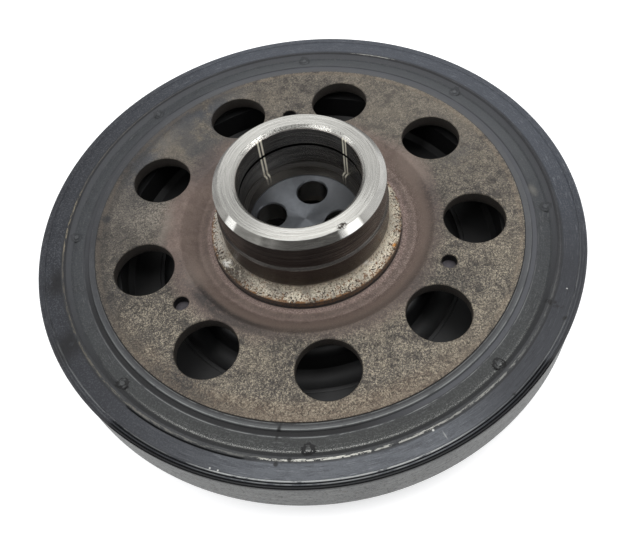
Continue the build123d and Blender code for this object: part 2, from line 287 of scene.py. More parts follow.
def make_carrier_plate():
    """Pressed disc with a dished seat and a turned-down rim, vents punched through it."""
    shift = 6 * math.tan(math.atan2(PLATE_FACE - DISH_FLOOR, FLAT_START - DISH_EDGE) / 2)
    low, high = (DISH_EDGE, DISH_FLOOR), (FLAT_START, PLATE_FACE)
    under_low, under_high = (DISH_EDGE + shift, DISH_UNDER), (FLAT_START + shift, PLATE_UNDER)
    bend = 2.5
    outline = [(SPIGOT, DISH_FLOOR)]
    outline += blend((SPIGOT, DISH_FLOOR), low, high, bend)
    outline += blend(low, high, (PLATE_FACE_EDGE, PLATE_FACE), bend)
    outline += [(PLATE_FACE_EDGE, PLATE_FACE)] + arc((PLATE_FACE_EDGE, 40.2), 4, 90, 0, 8)
    outline += [(PLATE_RIM, RIM_EDGE), (RIM_BORE, RIM_EDGE)] + arc((74.5, 37), 2, 0, 90, 6)
    outline += blend((74.5, PLATE_UNDER), under_high, under_low, bend)
    outline += blend(under_high, under_low, (SPIGOT, DISH_UNDER), bend)
    outline += [(SPIGOT, DISH_UNDER)]
    plate = turned("carrier_plate_pressed", outline, steps=288)
    vent = stack("vent_punch", (0, -VENT_CIRCLE), [
        (PLATE_UNDER - 1, 12.3), (PLATE_UNDER, 11.9), (PLATE_UNDER + 1.8, VENT_HOLE),
        (PLATE_FACE - 0.3, VENT_HOLE), (PLATE_FACE, 11.4), (PLATE_FACE + 1, 12.4),
    ], sides=128)
    combine(plate, around(vent, 9), "DIFFERENCE")
    drill = stack("locating_drill", (0, LOCATING_CIRCLE), [
        (PLATE_FACE - 4, LOCATING_HOLE), (PLATE_FACE - 0.35, LOCATING_HOLE),
        (PLATE_FACE, 3.1), (PLATE_FACE + 1, 4.1),
    ], sides=48)
    combine(plate, around(drill, 3), "DIFFERENCE")
    return finish_shape(break_edges(plate, 0.1))


def make_damper_ring():
    """Turned inertia ring."""
    ring = turned("damper_ring_turned", [
        (RING_BORE, RING_REAR), (RING_OUTSIDE, RING_REAR), (RING_OUTSIDE, 27.3), (98.8, RING_FRONT),
        (90, RING_FRONT), (RING_BORE, 27.3),
    ], steps=360)
    return finish_shape(break_edges(ring, 0.2))


def make_damper_rubber():
    """One moulding: the skin with lip, groove, channel, crest, band and edge ridges, and the bonded web."""
    face = PLATE_FACE
    band, ridge_top, valley = face - 0.5, face - 0.05, face - 0.85
    outline = [
        (PLATE_FACE_EDGE, face - 0.8), (PLATE_FACE_EDGE, face - 0.35),
        (80.9, face - 0.35), (81.3, face - 1.3), (82.8, face - 1.3),
        (83.2, face - 1.2), (87.4, face - 2.1), (89.6, face - 0.15),
        (90.7, face - 0.15), (91.1, band), (91.4, band), (91.7, band), (96.9, band),
    ]
    for start in (96.9, 97.8, 98.7):
        outline += [(start + 0.315, ridge_top), (start + 0.72, valley)]
    outline += [(SKIN_OUTSIDE, face - 0.45), (SKIN_OUTSIDE, RING_REAR), (RING_BORE, RING_REAR)]
    bow, reach = hollow_curve((RING_BORE - PLATE_RIM) / 2)
    middle = ((PLATE_RIM + RING_BORE) / 2, RIM_EDGE + 1 + RUBBER_HOLLOW - bow)
    outline += arc(middle, bow, 90 - reach, 90 + reach, 8)
    outline += arc((PLATE_FACE_EDGE, 40.2), 4, 0, 90, 8)[:-1]
    rubber = turned("damper_rubber_moulded", outline, steps=384)
    # the skin has parted along the foot of the crest
    shift_points(
        rubber,
        lambda radius, turn, height: abs(radius - 91.4) < 0.1 and height > 44 and 223.6 < turn < 250.9,
        -0.9,
    )
    # away from the worn sector the grooves between the ridges are packed with grime
    shift_points(
        rubber,
        lambda radius, turn, height: 97.2 < radius < 99.55 and 44 < height < 44.3 and not 224 < turn < 315,
        0.55,
    )
    break_edges(rubber, 0.1)
    place, top = on_circle(GATE_CIRCLE, FIRST_GATE), face - 1.55
    gate = stack("gate_mark", place, [(top - 1.2, 1.9), (top - 0.12, 1.9), (top, 1.75)], sides=32)
    combine(rubber, around(gate, 8), "UNION")
    nub = stack("gate_nub", place, [(top - 0.4, 0.95), (top + 0.15, 0.95), (top + 0.4, 0.7)], sides=24)
    combine(rubber, around(nub, 8), "UNION")
    return finish_shape(rubber, 50)


def make_belt_pulley():
    """Turned pulley: six ribs between two guards, web, barrel and the collar that runs on the bush."""
    barrel, rim_bore, collar, collar_bore, guard = 63.1, 73.9, 74.85, 71.85, 81.4
    first, last = 2.52, 23.88
    flank = (RIB_TOP - RIB_ROOT) * math.tan(math.radians(20))
    outline = [
        (PULLEY_BARREL, BARREL_FOOT), (barrel, BARREL_FOOT), (barrel, 18.5), (barrel + 2, 20.5),
        (rim_bore - 2, 20.5), (rim_bore, 18.5), (rim_bore, 0), (guard - 0.5, 0), (guard, 0.5),
        (guard, 1.6), (RIB_TOP, first),
    ]
    for groove in range(6):
        centre = first + (groove + 0.5) * RIB_PITCH
        outline += [
            (RIB_TOP, centre - RIB_FLAT - flank), (RIB_ROOT, centre - RIB_FLAT),
            (RIB_ROOT, centre + RIB_FLAT), (RIB_TOP, centre + RIB_FLAT + flank),
        ]
    outline += [
        (RIB_TOP, last), (guard, 24.8), (guard, 25.9), (guard - 0.5, 26.4), (collar, 26.4),
        (collar, 35.5), (collar - 0.5, 36), (collar_bore, 36), (collar_bore, 26),
        (collar_bore - 2, BARREL_TOP), (PULLEY_BARREL, BARREL_TOP),
    ]
    return finish_shape(break_edges(turned("belt_pulley_turned", outline, steps=288), 0.15))


def make_pulley_bush():
    """Flanged bush between the plate's rim and the pulley's collar."""
    bore, flange, top = 74.9, 81, 36.5
    bush = turned("pulley_bush_moulded", [
        (bore, 26.5), (flange, 26.5), (flange, RIM_EDGE), (RIM_BORE, RIM_EDGE), (RIM_BORE, top), (bore, top),
    ])
    return finish_shape(break_edges(bush, 0.15))


def make_decoupler_sleeve():
    """Sleeve pressed in the pulley's barrel."""
    sleeve = turned("decoupler_sleeve_turned", [
        (58, BARREL_FOOT), (PULLEY_BARREL, BARREL_FOOT), (PULLEY_BARREL, BARREL_TOP), (58, BARREL_TOP),
    ])
    return finish_shape(break_edges(sleeve, 0.25))


def make_decoupler_rubber():
    """Vulcanised ring with hollow ends."""
    bow, reach = hollow_curve(4)
    sunk = RUBBER_HOLLOW - bow
    outline = arc((54, BARREL_TOP - 1 - sunk), bow, 270 - reach, 270 + reach, 10)
    outline += arc((54, BARREL_FOOT + 1 + sunk), bow, 90 - reach, 90 + reach, 10)
    return finish_shape(turned("decoupler_rubber_moulded", outline), 50)


def make_decoupler_cup():
    """Pressed cup, clamped under the hub's rolled lip."""
    inside = 47
    outline = [(SPIGOT, DISH_UNDER)]
    outline += blend((SPIGOT, DISH_UNDER), (CUP_OUTSIDE, DISH_UNDER), (CUP_OUTSIDE, BARREL_FOOT), 4, 8)
    outline += [(CUP_OUTSIDE, BARREL_FOOT), (inside, BARREL_FOOT)]
    outline += blend((inside, BARREL_FOOT), (inside, CUP_FLOOR), (SPIGOT, CUP_FLOOR), 1, 4)
    outline += [(SPIGOT, CUP_FLOOR)]
    return finish_shape(break_edges(turned("decoupler_cup_pressed", outline), 0.25))


# ---------- mixing finishes


def plug(tree, node, sockets):
    """Sets some of a node's sockets, or links them to what varies."""
    for key, value in sockets.items():
        value = value.socket if isinstance(value, Shade) else value
        if isinstance(value, bpy.types.NodeSocket):
            tree.links.new(value, node.inputs[key])
        else:
            node.inputs[key].default_value = value


def add_node(tree, kind, settings=None, sockets=None, out=0):
    """A node with its settings made first, then its sockets set or linked; gives back one output."""
    made = tree.nodes.new(kind)
    for key, value in (settings or {}).items():
        setattr(made, key, value)
    plug(tree, made, sockets or {})
    return made.outputs[out] if made.outputs else None


class Shade:
    """A number or colour that varies over a surface; arithmetic on it adds Math nodes."""

    def __init__(self, finish, socket):
        self.finish = finish
        self.socket = socket

    def reckon(self, operation, *numbers, clamp=False):
        settings = {"operation": operation, "use_clamp": clamp}
        return self.finish.node("ShaderNodeMath", settings, dict(enumerate(numbers)))

    def __add__(self, other):
        return self.reckon("ADD", self, other)

    def __radd__(self, other):
        return self.reckon("ADD", other, self)

    def __sub__(self, other):
        return self.reckon("SUBTRACT", self, other)

    def __rsub__(self, other):
        return self.reckon("SUBTRACT", other, self)

    def __mul__(self, other):
        return self.reckon("MULTIPLY", self, other)

    def __rmul__(self, other):
        return self.reckon("MULTIPLY", other, self)

    def __truediv__(self, other):
        return self.reckon("DIVIDE", self, other)

    def __abs__(self):
        return self.reckon("ABSOLUTE", self)

    def capped(self):
        """Kept between 0 and 1."""
        return self.reckon("ADD", self, 0.0, clamp=True)

    def slide(self, low, high, start, end):
        sockets = {"Value": self, "From Min": low, "From Max": high, "To Min": start, "To Max": end}
        return self.finish.node("ShaderNodeMapRange", {"interpolation_type": "SMOOTHSTEP"}, sockets)

    def above(self, low, high):
        """0 below the first value, 1 above the second, smooth between."""
        return self.slide(low, high, 0.0, 1.0)

    def below(self, low, high):
        """1 below the first value, 0 above the second, smooth between."""
        return self.slide(low, high, 1.0, 0.0)

    def between(self, low, high, soft):
        return self.above(low - soft, low + soft) * self.below(high - soft, high + soft)

    def bands(self, *rows):
        """Several stretches in one, each given as its strength, low, high and softness."""
        return sum(self.between(*row) * strength for strength, *row in rows)

    def tint(self, share, red, green, blue):
        """This colour with a share of another one over it."""
        return self.finish.blend(share, self, (red, green, blue))


def paint(red, green, blue):
    """A colour written as a screen shows it, 0 to 255."""
    channels = []
    for level in (red, green, blue):
        share = level / 255
        channels.append(share / 12.92 if share <= 0.04045 else ((share + 0.055) / 1.055) ** 2.4)
    return (*channels, 1.0)


class Finish:
    """One material, mixed from nodes that read the piece's own place in millimetres."""

    def __init__(self, name):
        self.material = bpy.data.materials.new(name)
        self.material.use_nodes = True
        self.tree = self.material.node_tree
        self.tree.nodes.clear()
        output = self.tree.nodes.new("ShaderNodeOutputMaterial")
        self.surface = self.tree.nodes.new("ShaderNodeBsdfPrincipled")
        self.tree.links.new(self.surface.outputs["BSDF"], output.inputs["Surface"])
        metres = self.node("ShaderNodeTexCoord", out="Object")
        self.place = self.vector("SCALE", metres, Scale=1000.0)
        apart = self.node("ShaderNodeSeparateXYZ", {}, {0: self.place}).socket.node.outputs
        self.x, self.y, self.height = (Shade(self, apart[axis]) for axis in "XYZ")
        self.radius = self.vector("LENGTH", self.vector("MULTIPLY", self.place, (1, 1, 0)), out="Value")
        self.turn = self.y.reckon("ARCTAN2", self.y, self.x) * (180 / math.pi)

    def node(self, kind, settings=None, sockets=None, out=0):
        return Shade(self, add_node(self.tree, kind, settings, sockets, out))

    def vector(self, operation, *places, out=0, **sockets):
        sockets.update(enumerate(places))
        return self.node("ShaderNodeVectorMath", {"operation": operation}, sockets, out)

    def noise(self, settings=None, **sockets):
        return self.node("ShaderNodeTexNoise", settings, sockets)

    def cloud(self, scale, detail=3.0, rough=0.55, twist=0.0, shift=(0, 0, 0)):
        """Mottling with patches about 1 / scale millimetres across."""
        moved = self.vector("ADD", self.place, shift)
        return self.noise(Vector=moved, Scale=scale, Detail=detail, Roughness=rough, Distortion=twist)

    def rings(self, scale, detail):
        """Tool lines that run round the axis, on faces and walls alike."""
        along = self.radius + self.height
        return self.noise({"noise_dimensions": "1D"}, W=along, Scale=scale, Detail=detail, Roughness=0.7)

    def streaks(self, length, width, detail=4.0, rough=0.65, shift=0.0):
        """Scratches that run some way round the axis, by their length and width in millimetres."""
        slow = self.vector("SCALE", self.place, Scale=1.0 / length)
        quick = (self.radius + self.height) / width + shift
        lift = self.node("ShaderNodeCombineXYZ", {}, {"Z": quick})
        return self.noise(Vector=self.vector("ADD", slow, lift), Scale=1.0, Detail=detail, Roughness=rough)

    def share_of_turn(self, count, start):
        """Angle from the nearest of some marks spaced evenly round the axis, in degrees."""
        each = 360.0 / count
        from_start = self.turn - start + each / 2
        return abs(from_start.reckon("FLOORED_MODULO", from_start, each) - each / 2)

    def spot(self, x, y, size, soft, stretch=1.0, lean=0.0):
        """A soft mark at a place on the piece, longer along its lean, in degrees."""
        lean = math.radians(lean)
        dx, dy = self.x - x, self.y - y
        along = (dx * math.cos(lean) + dy * math.sin(lean)) / stretch
        across = dy * math.cos(lean) - dx * math.sin(lean)
        square = along * along + across * across
        return square.reckon("SQRT", square).below(size - soft, size + soft)

    def spots(self, *rows):
        """Several soft marks in one, each given as its strength and then as a spot."""
        return sum(self.spot(*row) * strength for strength, *row in rows)

    def blend(self, share, first, second):
        """One colour over another, where bare colours are written as a screen shows them."""
        first, second = (paint(*part) if isinstance(part, tuple) else part for part in (first, second))
        return self.node("ShaderNodeMix", {"data_type": "RGBA"}, {0: share, 6: first, 7: second}, out=2)

    def relief(self, height, depth, strength=1.0, under=None):
        """Fine relief, with its full depth in millimetres."""
        sockets = {"Height": height, "Distance": depth * MM, "Strength": strength}
        if under is not None:
            sockets["Normal"] = under
        return self.node("ShaderNodeBump", {}, sockets)

    def finish(self, colour, roughness, metallic, normal, **constants):
        sockets = {"Base Color": colour, "Roughness": roughness, "Metallic": metallic, "Normal": normal}
        sockets.update((key.replace("_", " "), value) for key, value in constants.items())
        plug(self.tree, self.surface, sockets)
        return self.material


# Marks as strength, x, y, size, softness, then how many times as long and the lean in degrees
BRUISES = (
    (1, -32, 54, 15.5, 4), (1, -36, 44, 6, 4, 1.5, 130),
    (0.8, 58, 24, 8, 6, 1.5, 100), (0.5, 42, 22, 7, 6),
)
SOOT = (
    (1, 44.5, 2, 6.5, 5, 1.7, 95), (0.7, 36, -35, 4.5, 4, 1.8, 30),
    (0.8, 50, -36, 4, 3.5, 1.6, -20), (1, -47, -56.5, 4.5, 3.5, 2.2, -35),
    (1, -61.7, -39.6, 3.2, 2), (1.2, -75, 15.5, 1.7, 1.2),
    (1, -40, -22, 6, 4.5, 2.4, -55), (0.7, -70, -20, 4, 4, 2, 70),
    (1, -64, 42, 4.5, 4, 1.6, 60), (0.7, -12, 66, 3, 2.5, 2.2, 80),
    (1, -61, 22, 5, 5, 1.4, 20), (0.5, 16, 66, 4, 3, 1.8, 170),
)
NICKS = (
    (1, -15.9, -89.1, 0.7, 0.3), (1, -20.2, -89.7, 0.75, 0.3), (1, 55.6, -79.3, 0.5, 0.3),
    (1, -18.4, -79.5, 0.6, 0.3, 4, 65), (1, 78.8, -56, 0.6, 0.3, 1.6, 40),
    (1, -84.6, -37, 0.4, 0.3, 5, 66), (1, 70, -70.6, 0.9, 0.3, 1.5, 45),
)
FLECKS = (
    (1, -40.3, -87.7, 0.25, 0.2), (1, -37.9, -88.8, 0.25, 0.2), (1, 28.7, -86.7, 0.35, 0.2),
    (0.3, 31.9, -88.8, 0.2, 0.15, 6, -70), (1, 83, -45.2, 0.22, 0.15),
)
# Stretches of the crest that are worn through, as strength, first and last angle and softness
SCARS = (
    (1, -106, -84, 2), (0.5, -84, -70, 2.5), (0.25, -72, -50, 6),
    (0.55, 58.6, 70.3, 0.7), (0.6, 160, 178, 2),
)


def hub_steel():
    """Turned steel: bright nose, polished sleeve with lathe lines, rust-specked foot, dark bore."""
    steel = Finish("turned hub steel")
    x, y, radius, height, turn = steel.x, steel.y, steel.radius, steel.height, steel.turn
    lines = steel.streaks(26, 0.5, 4, 0.8)
    fine = steel.rings(7, 3)
    scratches = steel.streaks(12, 0.28, 2, 0.7, 40)
    outside = radius.above(29.6, 29.95) * height.below(68.5, 68.8)
    foot = height.below(47.6, 49.2) * radius.above(30, 30.4)
    floor = height.below(46.1, 46.5) * radius.below(20.6, 21) * height.above(45, 45.4)
    bore = radius.below(22.4, 22.8) * height.below(69.9, 70.4) * (1 - floor)
    front = height.below(44.9, 45.3) * (1 - foot) * (1 - radius.above(20, 20.4))
    # end face and chamfer, the face bright, the chamfer with painted highlights and painted shade on its near
    # side
    bright = steel.blend(lines.above(0.4, 0.6), (180, 179, 174), (200, 199, 194))
    bright = bright.tint(scratches.above(0.58, 0.64) * 0.45, 138, 137, 133)
    bright = bright.tint(fine.above(0.55, 0.65) * 0.3, 150, 149, 145)
    nose = radius.above(27.7, 27.9) * height.above(68.4, 68.7)
    nose_with_painted_light = steel.blend(lines.above(0.4, 0.6), (112, 110, 106), (146, 144, 139))
    # painted shade on the chamfer's near side
    nose_with_painted_light = nose_with_painted_light.tint(turn.between(-140, -96, 8) * 0.6, 90, 88, 84)
    # painted highlights: bright patches on the chamfer where the lamps' glints fall
    painted_nose_highlights = turn.bands((1, -69, -52, 1.6), (0.75, -152, -143, 1.2), (0.35, -50, 10, 8))
    nose_with_painted_light = nose_with_painted_light.tint(painted_nose_highlights.capped(), 252, 251, 246)
    bright = steel.blend(nose * 0.85, bright, nose_with_painted_light)
    # outside of the sleeve, with the line where the seal ran
    sleeve = steel.blend(lines.above(0.42, 0.58), (80, 75, 72), (134, 129, 124))
    stain = steel.streaks(30, 1.4, 5, 0.75, 11).above(0.48, 0.58)
    sleeve = sleeve.tint(stain * 0.6, 70, 62, 56)
    sleeve = sleeve.tint(height.between(50, 57.2, 0.4) * 0.7, 84, 77, 71)
    seal_line = height.bands((1, 63.4, 63.9, 0.12), (1, 60.6, 60.8, 0.08))
    sleeve = sleeve.tint((seal_line * lines.above(0.3, 0.5)).capped() * 0.8, 34, 30, 28)
    step = height.between(57.6, 58.5, 0.2) * radius.above(29.6, 29.9)
    sleeve = sleeve.tint(step, 80, 77, 74)
    # painted dark reflections on the sleeve's near side, above and below the step
    painted_dark_reflection = turn.between(-142, -72, 14) * height.above(58.4, 58.8)
    sleeve = sleeve.tint(painted_dark_reflection * 0.6, 38, 39, 43)
    painted_low_dark_reflection = turn.between(-150, -60, 14) * height.below(57.2, 57.6)
    sleeve = sleeve.tint(painted_low_dark_reflection * (0.3 + lines.above(0.42, 0.56) * 0.3), 44, 41, 40)
    # lighter along the lathe lines on the sleeve's right side
    lighter_right_side = turn.between(-46, 20, 14) * height.above(50, 54)
    sleeve = sleeve.tint(lighter_right_side * lines.above(0.38, 0.55) * 0.5, 168, 163, 157)
    walls = steel.blend(outside, bright, sleeve)
    # bore, snap groove and the seat below it
    brown = steel.blend(lines.above(0.35, 0.65), (116, 112, 110), (172, 168, 162))
    brown = brown.tint(scratches.above(0.58, 0.66) * 0.7, 40, 37, 36)
    seat = height.below(51.6, 52)
    brown = steel.blend(seat, brown, steel.blend(lines, (118, 112, 104), (150, 142, 132)))
    shoulder = height.between(51.3, 52.35, 0.1)
    brown = brown.tint(shoulder * 0.95, 34, 32, 30)
    # painted shade: the snap groove and the corner just above the web painted black
    snap = height.bands((1, 61.3, 62.5, 0.15), (1, 46, 46.5, 0.2)).capped()
    brown = brown.tint(snap, 12, 12, 12)
    walls = steel.blend(bore, walls, brown)
    mouth = radius.between(22, 23.2, 0.15) * height.above(69.2, 69.7)
    stained = mouth * steel.cloud(1.8, 4, 0.75).above(0.54, 0.6) * y.above(5, 18)
    walls = walls.tint(stained * 0.8, 60, 50, 42)
    # painted highlights: bright streaks down the bore wall where the lamps' reflections run
    streaks_and_painted_highlights = sum(turn.between(middle - 0.9, middle + 0.9, 0.5) for middle in (125, 121.3, 38, 34.5))
    streaks_and_painted_highlights = (streaks_and_painted_highlights * bore * height.above(46, 58) * (1 - snap)).capped()
    walls = walls.tint(streaks_and_painted_highlights * 0.9, 255, 248, 226)
    # web with its bolt holes
    grey = steel.blend(steel.cloud(0.4, 4, 0.6), (88, 91, 95), (104, 107, 111))
    grey = grey.tint(steel.cloud(0.25, 3).above(0.52, 0.62) * 0.2, 122, 126, 131)
    # painted shade on the web's left, painted light on its right
    grey = grey.tint(x.below(-15, -4) * y.above(-8, 2) * 0.7, 52, 54, 58)
    grey = grey.tint(x.above(6, 15) * 0.4, 128, 131, 135)
    walls = steel.blend(floor, walls, grey)
    # painted shade on the walls of the bolt holes
    painted_hole_shade = radius.below(20, 20.4) * height.below(45.1, 45.5) * height.above(36.2, 36.5)
    walls = walls.tint(painted_hole_shade, 34, 34, 36)
    nick = steel.spot(11.4, -24.5, 1, 0.35, 1.8, 25) * steel.cloud(1.6, 3, 0.7).above(0.42, 0.5)
    worn = radius.between(27.5, 28.2, 0.15) * turn.between(-76, -36, 2)
    walls = walls.tint((nick + worn * 0.6 * lines.above(0.4, 0.6)).capped(), 44, 38, 34)
    # flared foot, rusting from its rim
    speckle = steel.cloud(1.3, 5, 0.72)
    rust = (speckle + (radius - SPIGOT) * 0.02).above(0.55, 0.6)
    freckles = steel.blend(steel.cloud(0.6, 2).above(0.42, 0.6), (52, 40, 33), (118, 82, 52))
    fleck = steel.cloud(1.6, 4, 0.75).above(0.38, 0.62)
    beige = steel.blend(fleck, (160, 153, 138), (218, 210, 192))
    grimy = steel.cloud(0.16, 4, 0.65).above(0.46, 0.58) + steel.spot(-26, -21, 5, 4)
    beige = beige.tint(grimy.capped() * 0.45, 96, 92, 88)
    beige = beige.tint(x.above(8, 24) * 0.3, 228, 219, 200)
    beige = beige.tint(x.below(-31, -26) * y.above(-12, -6) * 0.4, 214, 211, 204)
    flare = steel.blend(rust, beige, freckles)
    rim = radius.above(34, 35) * steel.cloud(0.6, 4, 0.7).above(0.42, 0.58)
    flare = flare.tint(rim * 0.8, 136, 98, 62)
    flare = flare.tint(steel.spot(29.8, -16.8, 0.45, 0.4, 1.6, 60), 214, 144, 56)
    smeared = steel.spot(-28.5, -17, 3.2, 2, 2.2, -52) * steel.cloud(0.6, 4, 0.7).above(0.4, 0.55)
    flare = flare.tint(smeared * 0.8, 52, 48, 46)
    glint = steel.cloud(0.9, 3, 0.6, 0, (3, 8, 0)).above(0.4, 0.5)
    glint = steel.spot(-30.1, -13.6, 1.1, 0.8, 1.5, -40) * glint
    glint = glint + steel.spot(18.8, -24.4, 0.3, 0.3, 7, 18) * lines.above(0.4, 0.5)
    flare = flare.tint(glint.capped() * 0.85, 246, 244, 238)
    edge = height.below(43.9, 44.2) * radius.above(34.8, 35)
    crust_and_painted_shade = steel.blend(speckle.above(0.42, 0.56), (44, 35, 30), (112, 84, 60))
    # darker on the left; painted shade darkest at the bottom, where the foot meets the plate
    crust_and_painted_shade = crust_and_painted_shade.tint(x.below(-20, 5) * 0.6, 38, 32, 30)
    crust_and_painted_shade = crust_and_painted_shade.tint(height.below(41.4, 42.4), 24, 18, 16)
    flare = steel.blend(edge, flare, crust_and_painted_shade)
    colour = steel.blend(foot, walls, flare)
    turned_front = steel.blend(steel.cloud(0.12, 3), (112, 110, 108), (142, 140, 136))
    colour = steel.blend(front, colour, turned_front)

    shoulder = shoulder * bore
    roughness = 0.2 + lines * 0.1 + foot * (0.14 + rust * 0.3)
    roughness = roughness + floor * 0.26 + shoulder * 0.5 + streaks_and_painted_highlights * 0.25
    metallic = 1 - foot * (rust * 0.7 + 0.1) - floor * 0.3 - edge * 0.6 - shoulder * 0.6 - streaks_and_painted_highlights * 0.9
    bumps = steel.relief(fine, 0.02, 1, under=steel.relief(lines, 0.03))
    pits = steel.relief(speckle * foot, 0.35, 1, under=bumps)
    return steel.finish(
        colour, roughness, metallic.capped(), pits, Anisotropic=0.88, Anisotropic_Rotation=0.25
    )


def blasted_steel():
    """Blasted disc gone brown: mottled, light and dark speckle, smooth brown dish, dark smudges."""
    steel = Finish("blasted plate steel")
    x, y, radius, height, turn = steel.x, steel.y, steel.radius, steel.height, steel.turn
    grit = steel.cloud(2.3, 3, 0.8)
    pitting = steel.cloud(1.2, 5, 0.8, 0.5, (17, 5, 0))
    mottle = steel.cloud(0.3, 6, 0.7, 0.6)
    broad = steel.cloud(0.05, 4, 0.6)
    patches = steel.cloud(0.11, 5, 0.65, 0.4, (40, 0, 0))
    near = y.below(-40, 20)
    right = x.above(30, 60)
    left = x.below(-66, -30) * y.above(-50, -20)
    lively = (0.42 + near * 0.4 + right * 0.05 - left * 0.1).capped()
    worms = steel.cloud(0.6, 2, 0.5, 1, (0, 30, 0)).between(0.47, 0.53, 0.015)
    # blasted face
    ground = steel.blend(mottle.above(0.36, 0.62), (70, 66, 63), (104, 98, 91))
    ground = ground.tint(patches.above(0.5, 0.62) * 0.5, 70, 66, 64)
    ground = ground.tint(broad.above(0.48, 0.6) * 0.4, 126, 117, 104)
    # painted shade: the face darker, with mottling, on its left side
    painted_left_shade = steel.blend(mottle.above(0.4, 0.6), (50, 48, 47), (84, 79, 76))
    ground = steel.blend(left * 0.8, ground, painted_left_shade)
    edge_rust = radius.above(69.5, 75) * turn.between(-150, -60, 20)
    ground = ground.tint(edge_rust * 0.45, 136, 117, 98)

    light = grit.above(0.48, 0.58) * lively * mottle.above(0.3, 0.55)
    dark = pitting.above(0.5, 0.59) * (0.48 + near * 0.25)
    face = ground.tint(light, 182, 171, 149)
    face = face.tint(dark, 46, 41, 38)
    # stains, soot and corrosion on the face, and painted shade toward its rim
    film = radius.above(66, 72) * steel.spot(-50, 60, 26, 10, 1.3, 45) * patches.above(0.35, 0.55)
    face = face.tint(film * 0.7, 82, 85, 90)
    tan = steel.spots((1, -46, 50, 7, 4, 1.4, 40), (1, -50, 33, 4, 4, 2.4, 50))
    face = face.tint(tan.capped() * 0.5, 130, 122, 110)
    bruise = (steel.spots(*BRUISES) * (patches + mottle * 0.5).above(0.6, 0.85)).capped()
    face = face.tint(bruise * 0.65, 66, 68, 72)
    soot = (steel.spots(*SOOT) * (mottle * 0.6 + pitting * 0.6).above(0.42, 0.72)).capped()
    corroded = steel.spots((1, -57.5, 14, 7.5, 4, 1.4, 66), (0.5, -51, 36, 6, 4))
    pitted = corroded.capped()
    face = face.tint(pitted * 0.5, 124, 117, 108)
    face = face.tint(pitted * pitting.above(0.47, 0.55) * 0.6, 42, 39, 38)
    face = face.tint(pitted * grit.above(0.5, 0.58) * 0.55, 156, 148, 134)
    wormy = (0.25 + corroded * 0.85 + steel.spot(46, -20, 18, 14) * 0.25).capped()
    face = face.tint(worms * (wormy * pitting.above(0.36, 0.5)), 40, 37, 36)
    pale = steel.spots((1, -62, 16.5, 9, 5, 1.5, 165), (0.8, -53.5, -1, 3.5, 2.5))
    face = face.tint(pale.capped() * (0.08 + grit.above(0.45, 0.55) * 0.35), 160, 152, 140)
    fair = turn.between(22, 64, 12) * radius.above(44, 50)
    face = face.tint(fair * 0.14, 150, 142, 128)
    scraped = steel.spot(-49, 10, 2.8, 1.4, 3.8, 64)
    face = face.tint(scraped * 0.75, 150, 145, 134)
    blotch = steel.spots((0.8, -74.5, 14.9, 1.5, 0.9), (0.4, -71, 42, 1.2, 1))
    face = face.tint(blotch, 56, 58, 63)
    rim_line = radius.between(76.6, 78.1, 0.5) * mottle.above(0.35, 0.55)
    face = face.tint(rim_line * 0.4, 132, 118, 102)
    dimmed = steel.spots((1, -70, 0, 7, 6, 3, 90), (1, -52, 2, 3.5, 3, 1.6, 80))
    face = face.tint(dimmed.capped() * 0.3, 56, 54, 53)
    rim_shade = radius.above(72.8, 76) * (1 - turn.between(-22, 104, 10))
    rim_shade = rim_shade * (1 - turn.between(-112, -22, 12) * 0.75)
    face = face.tint(rim_shade * (0.3 + mottle.above(0.4, 0.6) * 0.3), 54, 51, 49)
    # smooth dish round the hub
    reach = 41.5 + broad * 12 + x.below(-50, -20) * 4
    dish = (radius - reach - mottle * 3).below(-4, 5)
    brown = steel.blend(mottle.above(0.35, 0.65), (108, 94, 87), (128, 113, 105))
    brown = brown.tint(grit.above(0.54, 0.64) * 0.45, 160, 138, 124)
    brown = brown.tint(pitting.above(0.56, 0.64) * 0.3, 62, 50, 46)
    # painted light on the dish's rising ring, against its shading
    painted_light_on_slope = radius.between(41.5, 46.5, 1.6) * (0.45 + turn.between(-140, 20, 25) * 0.45)
    brown = brown.tint(painted_light_on_slope * 0.85, 130, 115, 106)
    colour = steel.blend(dish, face, brown)
    colour = colour.tint(soot * radius.above(43, 47) * 0.8, 46, 46, 48)
    uneven = mottle * 0.5 + pitting * 0.5
    # painted shadow just outside the dish, below its brow
    painted_brow_shadow = radius.between(44.8, 50, 1.2) * turn.between(-156, -10, 9)
    painted_brow_shadow = painted_brow_shadow * (0.35 + turn.between(-150, -112, 10) * 0.4) * uneven.above(0.32, 0.5)
    colour = colour.tint(painted_brow_shadow.capped(), 50, 48, 47)
    smudge = steel.spot(-35, 34.5, 4.5, 3.5, 2.2, 52) * uneven.above(0.3, 0.5)
    colour = colour.tint(smudge * 0.55, 54, 54, 57)
    bared = steel.spots((0.5, -41, -14, 4, 3, 1.8, 70), (0.45, 43, 16.5, 4, 3.5, 2, 110))
    colour = colour.tint(bared.capped(), 146, 132, 122)
    dusted = radius.between(34, 42, 3) * x.above(0, 30) * grit.above(0.52, 0.6)
    colour = colour.tint(dusted * 0.6, 184, 166, 158)
    colour = colour.tint(radius.between(37.6, 39.6, 0.8) * 0.35, 76, 64, 59)
    # lighter speckled ring round the hub's foot, partly painted light against the foot's shadow
    ring_mark_and_painted_light = steel.blend(grit.above(0.4, 0.6), (106, 88, 82), (176, 156, 148))
    colour = steel.blend(radius.between(35.6, 37.3, 0.4) * 0.6, colour, ring_mark_and_painted_light)
